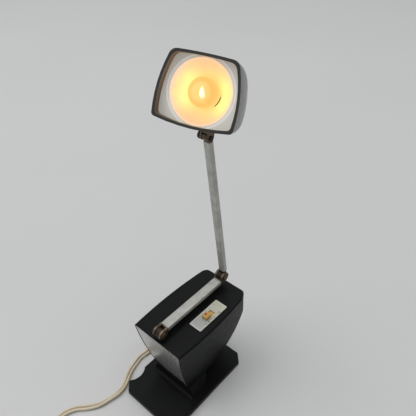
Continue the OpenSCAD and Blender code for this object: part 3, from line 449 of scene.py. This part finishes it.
def lit_inside(mat):
    """Painted bulb light on the head's inner walls: a brown glow, brighter higher up and hot yellow towards the
    back.
    """
    tree, shader = tree_of(mat)
    place = place_from(tree, head_core)
    away = node(tree, "VectorMath", {0: place}, operation="NORMALIZE").outputs[0]
    world_normal = node(tree, "NewGeometry").outputs["True Normal"]
    to_object = {"vector_type": "NORMAL", "convert_from": "WORLD", "convert_to": "OBJECT"}
    normal = node(tree, "VectorTransform", {0: world_normal}, **to_object).outputs[0]
    inner = calc(tree, "LESS_THAN", dot(tree, away, normal), INNER_FACING)
    high = span(tree, dot(tree, place, head_up), -WARM_HALF, WARM_HALF)
    uneven = calc(tree, "ADD", high, wander(tree, size=4, detail=4, amount=0.5))
    painted_bulb_light = ramp(tree, uneven, (0.1, BULB_LIGHT_LOW), (0.9, BULB_LIGHT_HIGH))
    behind = span(tree, dot(tree, place, head_out), 0, -GLOW_DEPTH)
    painted_bulb_light = mix(tree, behind, painted_bulb_light, BACK_GLOW)
    feed(tree, shader, Emission_Color=mix(tree, inner, BLACK, painted_bulb_light))
    shader.inputs["Emission Strength"].default_value = 0.55


def lit_socket(mat):
    """The socket behind the bulb glows where light falls on it and is shaded low down."""
    tree, shader = tree_of(mat)
    rise = dot(tree, place_from(tree, bulb), head_up)
    high = calc(tree, "ADD", calc(tree, "DIVIDE", rise, 2 * BULB_R), 0.5)
    glow = ramp(tree, high,
                (0.04, SOCKET_LIGHT),
                (0.14, SOCKET_SHADE),
                (0.42, SOCKET_SHADE),
                (0.56, SOCKET_LIGHT))
    feed(tree, shader, Emission_Color=glow)
    shader.inputs["Emission Strength"].default_value = 0.9


def bowl_glow(tree, distance, out):
    """Light in the bowl by distance from the axis: yellow at its sides, more orange above and below."""
    place = calc(tree, "ADD", out, wander(tree, size=9, detail=3, amount=0.16))
    sides = ramp(tree, place,
                 (0.42, srgb(255, 226, 132)),
                 (0.58, srgb(255, 252, 150)),
                 (0.76, srgb(254, 250, 158)),
                 (0.88, srgb(253, 232, 158)),
                 (0.95, srgb(251, 222, 168)),
                 (1, srgb(248, 206, 178)))
    ends = ramp(tree, place,
                (0.42, srgb(254, 206, 122)),
                (0.6, srgb(254, 218, 138)),
                (0.8, srgb(253, 206, 146)),
                (0.93, srgb(252, 198, 148)),
                (1, srgb(248, 198, 160)))
    height = dot(tree, place_from(tree, face), head_up)
    upright = calc(tree, "ABSOLUTE", calc(tree, "DIVIDE", height, distance))
    return mix(tree, span(tree, upright, 0.5, 0.97), sides, ends)


def lit_reflector(name):
    """Satin sheet round a bowl, with the bulb's light painted on as glow: on the bowl, hotter towards the bulb,
    and faint on the sheet, with a painted highlight on the bead round the bowl.
    """
    _, tree, shader = new_material(name, Emission_Strength=1.0)
    distance = axis_distance(tree, face)
    out = calc(tree, "DIVIDE", distance, BOWL_R)
    glow = bowl_glow(tree, distance, out)
    brushed = noise(tree, size=0.35, detail=4, rough=0.6, stretch=(1, 1, 0.1))
    sheet = mix(tree, ramp(tree, brushed, (0.35, 0.25), (0.65, 0)), SHEET_LIGHT, SHEET_DARK)
    half_out = calc(tree, "MULTIPLY", out, 0.5)
    # a pale ring painted as the highlight of the reflector's rolled bead
    bead_highlight = ramp(tree, half_out, (0.53, 0), (0.54, 0.8), (0.552, 0.8), (0.562, 0))
    sheet = mix(tree, bead_highlight, sheet, BEAD_HIGHLIGHT)
    colour = mix(tree, span(tree, out, 1.04, 0.975), sheet, BOWL_BASE)
    # painted bulb light on the sheet, brighter on the bead
    lit_sheet = mix(tree, bead_highlight, SHEET_GLOW, BEAD_GLOW)
    emission = mix(tree, span(tree, out, 1.05, 0.985), lit_sheet, glow)
    roughness = spread(tree, noise(tree, size=3, detail=4), 0.4, 0.55)
    feed(tree, shader, Base_Color=colour, Emission_Color=emission, Roughness=roughness)
    set_normal(tree, shader, SHEET_EDGE, (noise(tree, size=0.3, detail=3), 0.06, 0.05 * MM))


def lit_bulb(name):
    """Glass lit from inside, a little clearer in the middle, where the wire shows."""
    _, tree, shader = new_material(name, Roughness=0.25, Specular_IOR_Level=0.1, Emission_Strength=1.0,
                                   Base_Color=GLASS_BASE)
    out = calc(tree, "DIVIDE", axis_distance(tree, bulb), BULB_R)
    out = calc(tree, "ADD", out, wander(tree, size=5, detail=3, amount=0.2))
    glow = ramp(tree, out,
                (0.1, srgb(255, 226, 144)),
                (0.45, srgb(254, 218, 132)),
                (0.75, srgb(252, 196, 106)),
                (1, srgb(252, 204, 116)))
    cover = ramp(tree, out, (0.0, 0.35), (0.5, 0.75), (0.9, 0.9))
    feed(tree, shader, Emission_Color=glow, Alpha=cover)
    set_normal(tree, shader, GLASS_EDGE, (noise(tree, size=4, detail=2), 0.03, 0.2 * MM))


# One material for each slot of the record

def make_materials():
    black_moulding("black_plastic", srgb(7, 8, 9), srgb(10, 11, 12), rough=0.42)
    black_moulding("neck_plastic", srgb(8, 8, 8), srgb(12, 12, 12), rough=0.6, edge=0.2)
    black_moulding("pad_rubber", srgb(24, 24, 24), srgb(36, 36, 35), rough=0.85, grain=2)
    black_moulding("switch_black", srgb(20, 20, 20), srgb(30, 30, 30), rough=0.6)
    black_moulding("tie_black", srgb(22, 22, 22), srgb(32, 32, 32), rough=0.5)
    head = black_moulding("head_plastic", srgb(58, 57, 54), srgb(66, 65, 61),
                          rough=0.32, grain=0.3, coat=0.5, edge=0.3)
    lit_inside(head)
    plated_metal("tube_metal", srgb(196, 196, 190), srgb(166, 166, 159),
                 rough=0.4, along=(1, 0.05, 0.05), rust=0.05, metallic=0.5, lines=1.1)
    plated_metal("hinge_metal", srgb(132, 116, 96), srgb(70, 58, 46), rough=0.4, rust=0.28, metallic=0.8)
    plated_metal("lug_metal", srgb(64, 54, 46), srgb(28, 24, 21), rough=0.45, rust=0.2, metallic=0.7)
    plated_metal("screw_steel", srgb(170, 170, 168), srgb(120, 118, 114), rough=0.35)
    plated_metal("ballast_iron", srgb(92, 90, 88), srgb(58, 56, 54), rough=0.6, rust=0.3)
    plated_metal("core_steel", srgb(84, 76, 68), srgb(50, 44, 40), rough=0.5, along=(1, 12, 1), rust=0.2)
    plated_metal("cap_brass", srgb(196, 164, 98), srgb(140, 106, 54), rough=0.3)
    plated_metal("blade_brass", srgb(200, 176, 116), srgb(150, 122, 70), rough=0.25, along=(1, 0.1, 1))
    plated_metal("filament_wire", srgb(200, 190, 170), srgb(150, 140, 120), rough=0.4)
    socket = plated_metal("socket_metal", srgb(180, 176, 166), srgb(130, 124, 112), rough=0.35)
    lit_socket(socket)
    aged_plastic("knob_amber", srgb(212, 172, 100), srgb(184, 140, 74), rough=0.35)
    aged_plastic("cord_ivory", srgb(224, 214, 190), srgb(204, 190, 160), rough=0.42)
    aged_plastic("plug_ivory", srgb(212, 200, 176), srgb(186, 170, 140), rough=0.36)
    polished_plate("plate_metal")
    varnished_wire("winding")
    switch_face("switch_metal")
    lit_reflector("reflector_metal")
    lit_bulb("bulb_glass")


make_materials()
for part in frame["record"]["subparts"]:
    slots = nodes[part["node"]].data.materials
    slots.clear()
    slots.append(materials[part["material_slot"]])


# Cord: the route's points are those of the part, in millimetres

CORD_W, CORD_T = 5.6, 2.8
BASE_TOP, EXIT_Z, CORD_Z = 5.0, 11.5, 2.1
COIL_CENTRE, COIL_R, COIL_TURNS, TURN_GAP = (-11.2, -146.0), 32.5, 7.5, 0.6
COIL_STEP, COIL_RISE = CORD_W + TURN_GAP, CORD_T + TURN_GAP
COIL_OUTER = COIL_R + COIL_STEP * COIL_TURNS / 4
TAIL_OUT, TAIL_RUN, PLUG_MID_Z = 8.0, 4.5 * CORD_W, 5.7
LEAD_STEPS, TURN_STEPS, TAIL_STEPS = 6, 36, 5
relief_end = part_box("strain_relief")[1].y / MM
LEAD = (
    (0, relief_end + 2, EXIT_Z), (-7, relief_end + 8, EXIT_Z - 2.3), (-19, relief_end + 10, EXIT_Z - 3.6),
    (-30.5, 32, BASE_TOP + 2.7), (-39.6, 23.6, BASE_TOP + 1.5), (-45.2, 11, 2.4),
    (-48.4, -7.2, CORD_Z), (-49.4, -18, CORD_Z), (-45.6, -33.4, CORD_Z), (-40.6, -43.2, CORD_Z),
    (-36.4, -51.6, CORD_Z), (-35.2, -60.2, CORD_Z), (-37, -69.5, CORD_Z), (-39.6, -79.6, CORD_Z),
    (-46, -89, CORD_Z), (-54, -97.6, CORD_Z), (-58.2, -107.6, CORD_Z), (-58.2, -119, CORD_Z),
    (-55.8, -131, CORD_Z),
)


def curve_point(a, b, c, d, t):
    """Point between b and c on a smooth curve through four points."""
    square = (2 * a - 5 * b + 4 * c - d) * t * t
    cube = (3 * b - a - 3 * c + d) * t ** 3
    return 0.5 * (2 * b + (c - a) * t + square + cube)


def coil_at(turns):
    """Point of the coil: inwards on the table for half its turns, then outwards on top of them."""
    r = COIL_OUTER - COIL_STEP * min(turns, COIL_TURNS - turns)
    climb = max(0.0, min(1.0, 2 * (turns - COIL_TURNS / 2) + 0.5))
    angle = pi + 2 * pi * turns
    x, y = COIL_CENTRE
    return Vector((x + r * cos(angle), y + r * sin(angle), CORD_Z + COIL_RISE * climb))


def cord_route():
    """Out of the neck, round the base and along the table, through the coil and into the plug."""
    ahead = Vector((0, CORD_W, 0))
    coil_end = coil_at(COIL_TURNS)
    knots = [Vector(p) for p in LEAD] + [coil_at(0) + ahead]
    last = len(knots) - 1
    path = [Vector((0, relief_end - 1, EXIT_Z))]
    for i in range(last):
        four = knots[max(i - 1, 0)], knots[i], knots[i + 1], knots[min(i + 2, last)]
        path += [curve_point(*four, step / LEAD_STEPS) for step in range(LEAD_STEPS)]
    path.append(knots[last])
    path += [coil_at(step / TURN_STEPS) for step in range(int(TURN_STEPS * COIL_TURNS) + 1)]
    tail = coil_end + ahead
    plug = Vector((coil_end.x + TAIL_OUT, coil_end.y + TAIL_RUN, PLUG_MID_Z))
    run = plug - tail
    for step in range(TAIL_STEPS):
        t = step / TAIL_STEPS
        ease = t * t * (3 - 2 * t)
        path.append(tail + Vector((run.x * ease, run.y * t, run.z * ease)))
    path += [plug, plug + ahead]
    return [p * MM for p in path]


ROLL, ROLL_PITCH, ROLL_END, ROLL_EASE = radians(28), 95 * MM, 190 * MM, 20 * MM
CORE_ARC, CORE_ARC_STEP = 140, 35
# GROOVE_FLOOR is the groove's depth; the other is the painted shade on the groove's sides
GROOVE_FLOOR, GROOVE_SIDE_SHADE = 0.3, 0.4


def make_cord():
    """Two cores side by side, rolling a little on the table, flat in the coil."""
    path = cord_route()
    r, off = CORD_T / 2 * MM, (CORD_W - CORD_T) / 2 * MM
    arc = [radians(a) for a in range(-CORE_ARC, CORE_ARC + 1, CORE_ARC_STEP)]
    half = [(off + r * cos(a), r * sin(a)) for a in arc] + [(0, GROOVE_FLOOR * r)]
    section = half + [(-x, -z) for x, z in half]
    rings = []
    way = 0
    for i, p in enumerate(path):
        way += (p - path[max(i - 1, 0)]).length
        loose = max(0, min(1, (ROLL_END - way) / ROLL_EASE, way / ROLL_EASE))
        roll = ROLL * loose * cos(2 * pi * way / ROLL_PITCH)
        side, up = across(path, i)
        side, up = towards(side, up, roll), towards(up, -side, roll)
        rings.append([p + side * x + up * z for x, z in section])
    cord = lofted("mains_lead", rings, materials["cord_ivory"])
    # how much painted shade each point of the section takes: full in the groove, some on its sides
    half_groove_shade = [GROOVE_SIDE_SHADE] + [0.0] * (len(arc) - 2) + [GROOVE_SIDE_SHADE, 1.0]
    groove = cord.data.attributes.new("groove", "FLOAT", "POINT")
    groove.data.foreach_set("value", half_groove_shade * 2 * len(path))
    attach(cord, "root")
    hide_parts("power_cord", "cord_coil")


make_cord()


# Bulb wire and its glow

WIRE_R, WIRE_COIL_R, WIRE_HALF = 0.16 * MM, 0.55 * MM, 2.6 * MM
WIRE_TURNS, WIRE_TURN_STEPS, WIRE_SIDES = 9, 10, 6
WIRE_AHEAD, WIRE_LEADS, WIRE_LEAN = 4 * MM, 14 * MM, 0.3
GLOW_R, GLOW_TIP_R, GLOW_BELOW, GLOW_LENGTH = 1.9 * MM, 0.05 * MM, 4.1 * MM, 8.4 * MM
GLOW_LEAN, GLOW_WIDE_LOW, GLOW_BLUNT = radians(12.7), 0.62, 0.75
GLOW_STEPS, GLOW_SIDES = 16, 16
wire_mid = bulb + head_out * WIRE_AHEAD


def wire_path():
    """Up one lead, along the coil and down the other lead."""
    foot = wire_mid - head_out * WIRE_LEADS
    steps = WIRE_TURNS * WIRE_TURN_STEPS
    path = [foot - head_up * WIRE_HALF]
    for i in range(steps + 1):
        height = WIRE_HALF * (2 * i / steps - 1)
        turned = towards(head_right, head_out, part_turn(i, WIRE_TURN_STEPS))
        path.append(wire_mid + head_up * height + turned * WIRE_COIL_R)
    path.append(foot + head_up * WIRE_HALF)
    return path


def make_filament():
    """A coiled wire on two leads, with the white glow round it."""
    path = wire_path()
    rings = []
    for i, p in enumerate(path):
        a, b = across(path, i, head_right + head_up * WIRE_LEAN)
        rings.append([p + towards(a, b, part_turn(k, WIRE_SIDES)) * WIRE_R for k in range(WIRE_SIDES)])
    wire = lofted("filament_coil", rings, glowing("hot_wire", srgb(255, 214, 130), 1.0))
    upright = head_up * cos(GLOW_LEAN) - head_right * sin(GLOW_LEAN)
    rings = []
    for i in range(GLOW_STEPS + 1):
        part = i / GLOW_STEPS
        r = max(GLOW_R * sin(pi * part ** GLOW_WIDE_LOW) ** GLOW_BLUNT, GLOW_TIP_R)
        p = wire_mid + upright * (GLOW_LENGTH * part - GLOW_BELOW)
        turns = [part_turn(k, GLOW_SIDES) for k in range(GLOW_SIDES)]
        rings.append([p + towards(head_right, head_out, turn) * r for turn in turns])
    glow = lofted("filament_glow", rings, glowing("hot_glow", srgb(255, 252, 232), 3.0))
    for ob in (wire, glow):
        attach(ob, "head")
    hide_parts("filament")


make_filament()


# Marks on the switch plate and the knob

SPOT_SIDES = 20
SPOT_PROFILE = ((1, 0), (0.95, 0.6), (0.7, 0.9), (0.3, 1))
BORDER_W, BORDER_IN, BORDER_H = 0.7 * MM, 0.35 * MM, 0.06 * MM
MARKS_IN = 1.5 * MM
DOT_R, DOT_H = 0.85 * MM, 0.08 * MM
DASH_W, DASH_H = 0.7 * MM, 0.05 * MM
DOTS_ALONG = (13.4 * MM, 27.9 * MM)
DASHES_ALONG = ((9.8 * MM, 1.6 * MM), (17.3 * MM, 1.2 * MM), (20.5 * MM, 2.4 * MM), (25.3 * MM, 1.2 * MM))
KNOB_DOT_R, KNOB_DOT_H, KNOB_DOT_LEFT, KNOB_DOT_SUNK = 1.3 * MM, 0.45 * MM, 1.0 * MM, 0.3 * MM


def spot(name, centre, radius, height, material, body):
    """A low domed spot of paint."""
    rings = []
    for wide, high in SPOT_PROFILE:
        turns = [part_turn(k, SPOT_SIDES) for k in range(SPOT_SIDES)]
        r, z = radius * wide, height * high
        rings.append([centre + Vector((r * cos(turn), r * sin(turn), z)) for turn in turns])
    ob = lofted(name, rings, material)
    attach(ob, body)


def dash(name, centre, length, material):
    """A short printed stroke along the switch plate."""
    size = Matrix.Diagonal((DASH_W, length, 2 * DASH_H, 1))
    bm = bmesh.new()
    bmesh.ops.create_cube(bm, size=1, matrix=Matrix.Translation(centre) @ size)
    ob = mesh_object(name, bm, material, smooth=False)
    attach(ob, "root")


def make_border(low, high, material):
    """A raised line round the switch plate's top."""
    left, right = low.x + BORDER_IN, high.x - BORDER_IN
    front, back = low.y + BORDER_IN, high.y - BORDER_IN
    bottom, top = high.z, high.z + BORDER_H
    corners = (left, front, 1, 1), (right, front, -1, 1), (right, back, -1, -1), (left, back, 1, -1)
    rings = []
    for x, y, to_x, to_y in corners:
        inner_x, inner_y = x + to_x * BORDER_W, y + to_y * BORDER_W
        corner = (x, y, bottom), (x, y, top), (inner_x, inner_y, top), (inner_x, inner_y, bottom)
        rings.append([Vector(p) for p in corner])
    border = lofted("plate_border", rings, material, closed=True, smooth=False)
    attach(border, "root")


def make_switch_marks():
    low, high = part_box("switch_plate")
    ink = printed("plate_ink", srgb(22, 21, 20))
    worn_ink = printed("plate_worn_ink", srgb(104, 102, 92))
    make_border(low, high, printed("plate_border", srgb(222, 220, 206)))
    marks_x = high.x - MARKS_IN
    for i, y in enumerate(DOTS_ALONG):
        place = Vector((marks_x, low.y + y, high.z))
        spot(f"plate_dot_{i}", place, DOT_R, DOT_H, ink, "root")
    for i, (y, length) in enumerate(DASHES_ALONG):
        dash(f"plate_dash_{i}", Vector((marks_x, low.y + y, high.z)), length, worn_ink)
    knob = middle("switch_knob")
    knob_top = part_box("switch_knob")[1].z
    place = Vector((knob.x - KNOB_DOT_LEFT, knob.y, knob_top - KNOB_DOT_SUNK))
    red = printed("knob_red", srgb(160, 16, 12))
    spot("knob_dot", place, KNOB_DOT_R, KNOB_DOT_H, red, "switch")


make_switch_marks()


# Floor and soft studio light

FLOOR_HALF = 2.4
FLOOR_DARK, FLOOR_LIGHT = srgb(208, 208, 207), srgb(212, 212, 211)
SKY = (0.95, 0.97, 1, 1)
FILL, BACKDROP = 0.3, 0.42


def make_floor():
    mat, tree, shader = new_material("floor", Roughness=0.6)
    colour = spread(tree, noise(tree, size=700, detail=2), FLOOR_DARK, FLOOR_LIGHT)
    feed(tree, shader, Base_Color=colour)
    bm = bmesh.new()
    bmesh.ops.create_grid(bm, x_segments=1, y_segments=1, size=FLOOR_HALF)
    mesh_object("floor", bm, mat, smooth=False)


def area_light(name, place, target, size, power):
    data = bpy.data.lights.new(name, "AREA")
    data.size, data.energy = size, power
    light = add_object(name, data)
    light.location = place
    aim = Vector(target) - Vector(place)
    light.rotation_euler = aim.to_track_quat("-Z", "Y").to_euler()


def make_light():
    """Two wide lamps, a dim even fill and a pale backdrop for what the camera and the gloss see."""
    world = bpy.data.worlds.new("world")
    bpy.context.scene.world = world
    world.use_nodes = True
    tree = world.node_tree
    sky = tree.nodes["Background"]
    sky.inputs["Color"].default_value = SKY
    ray = node(tree, "LightPath").outputs
    mirrored = calc(tree, "MAXIMUM", ray["Is Glossy Ray"], ray["Is Transmission Ray"])
    seen = calc(tree, "MAXIMUM", ray["Is Camera Ray"], mirrored)
    feed(tree, sky, Strength=span(tree, seen, 0, 1, FILL, BACKDROP))
    area_light("left_light", place=(-2.2, -1.7, 3.0), target=(0, 0, 0.15), size=4.0, power=64)
    area_light("top_light", place=(0.0, 0.8, 3.6), target=(0, 0, 0.1), size=3.6, power=62)


make_floor()
make_light()
bpy.context.scene.view_settings.view_transform = "Standard"
